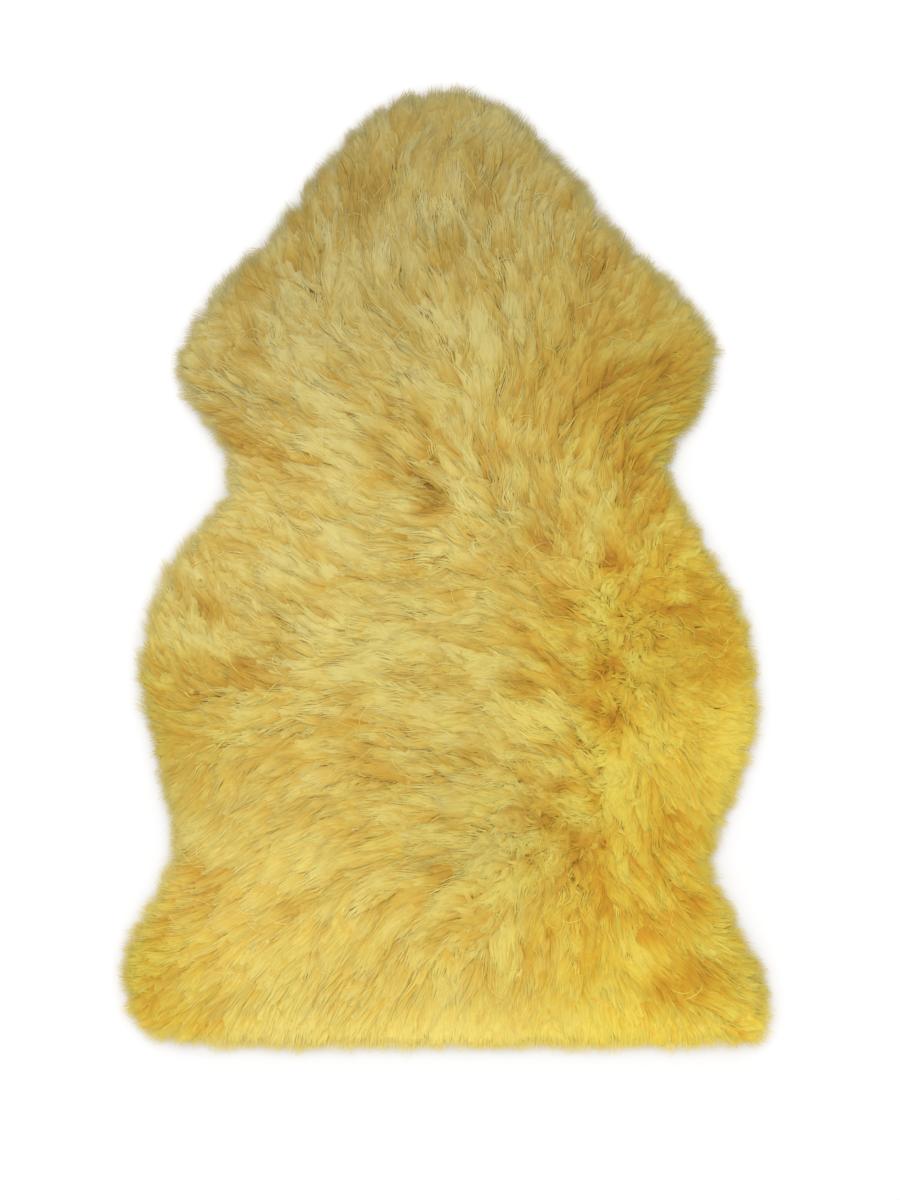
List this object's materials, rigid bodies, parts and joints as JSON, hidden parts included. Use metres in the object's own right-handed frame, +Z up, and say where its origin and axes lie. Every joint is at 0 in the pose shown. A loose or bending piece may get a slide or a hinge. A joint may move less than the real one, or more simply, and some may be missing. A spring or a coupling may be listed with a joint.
{
  "type": "sheepskin rug",
  "caption": "Single sheepskin rug: a tanned hide with long combed wool dyed golden yellow, in the skin's natural outline, lying flat on the floor.",
  "frame": {"origin": "middle of the rug's bounding box, on the floor under the hide", "axes": "+Y along the skin from tail to neck, +X across it to the right seen from above, +Z up through the pile"},
  "size_m": [0.6376, 0.9458, 0.0533],
  "materials": {
    "wool": "long combed sheep's wool, dyed golden yellow, with pale soft tips and warmer roots"
  },
  "bodies": {
    "root": {"sheepskin": "wool"}
  },
  "joints": []
}
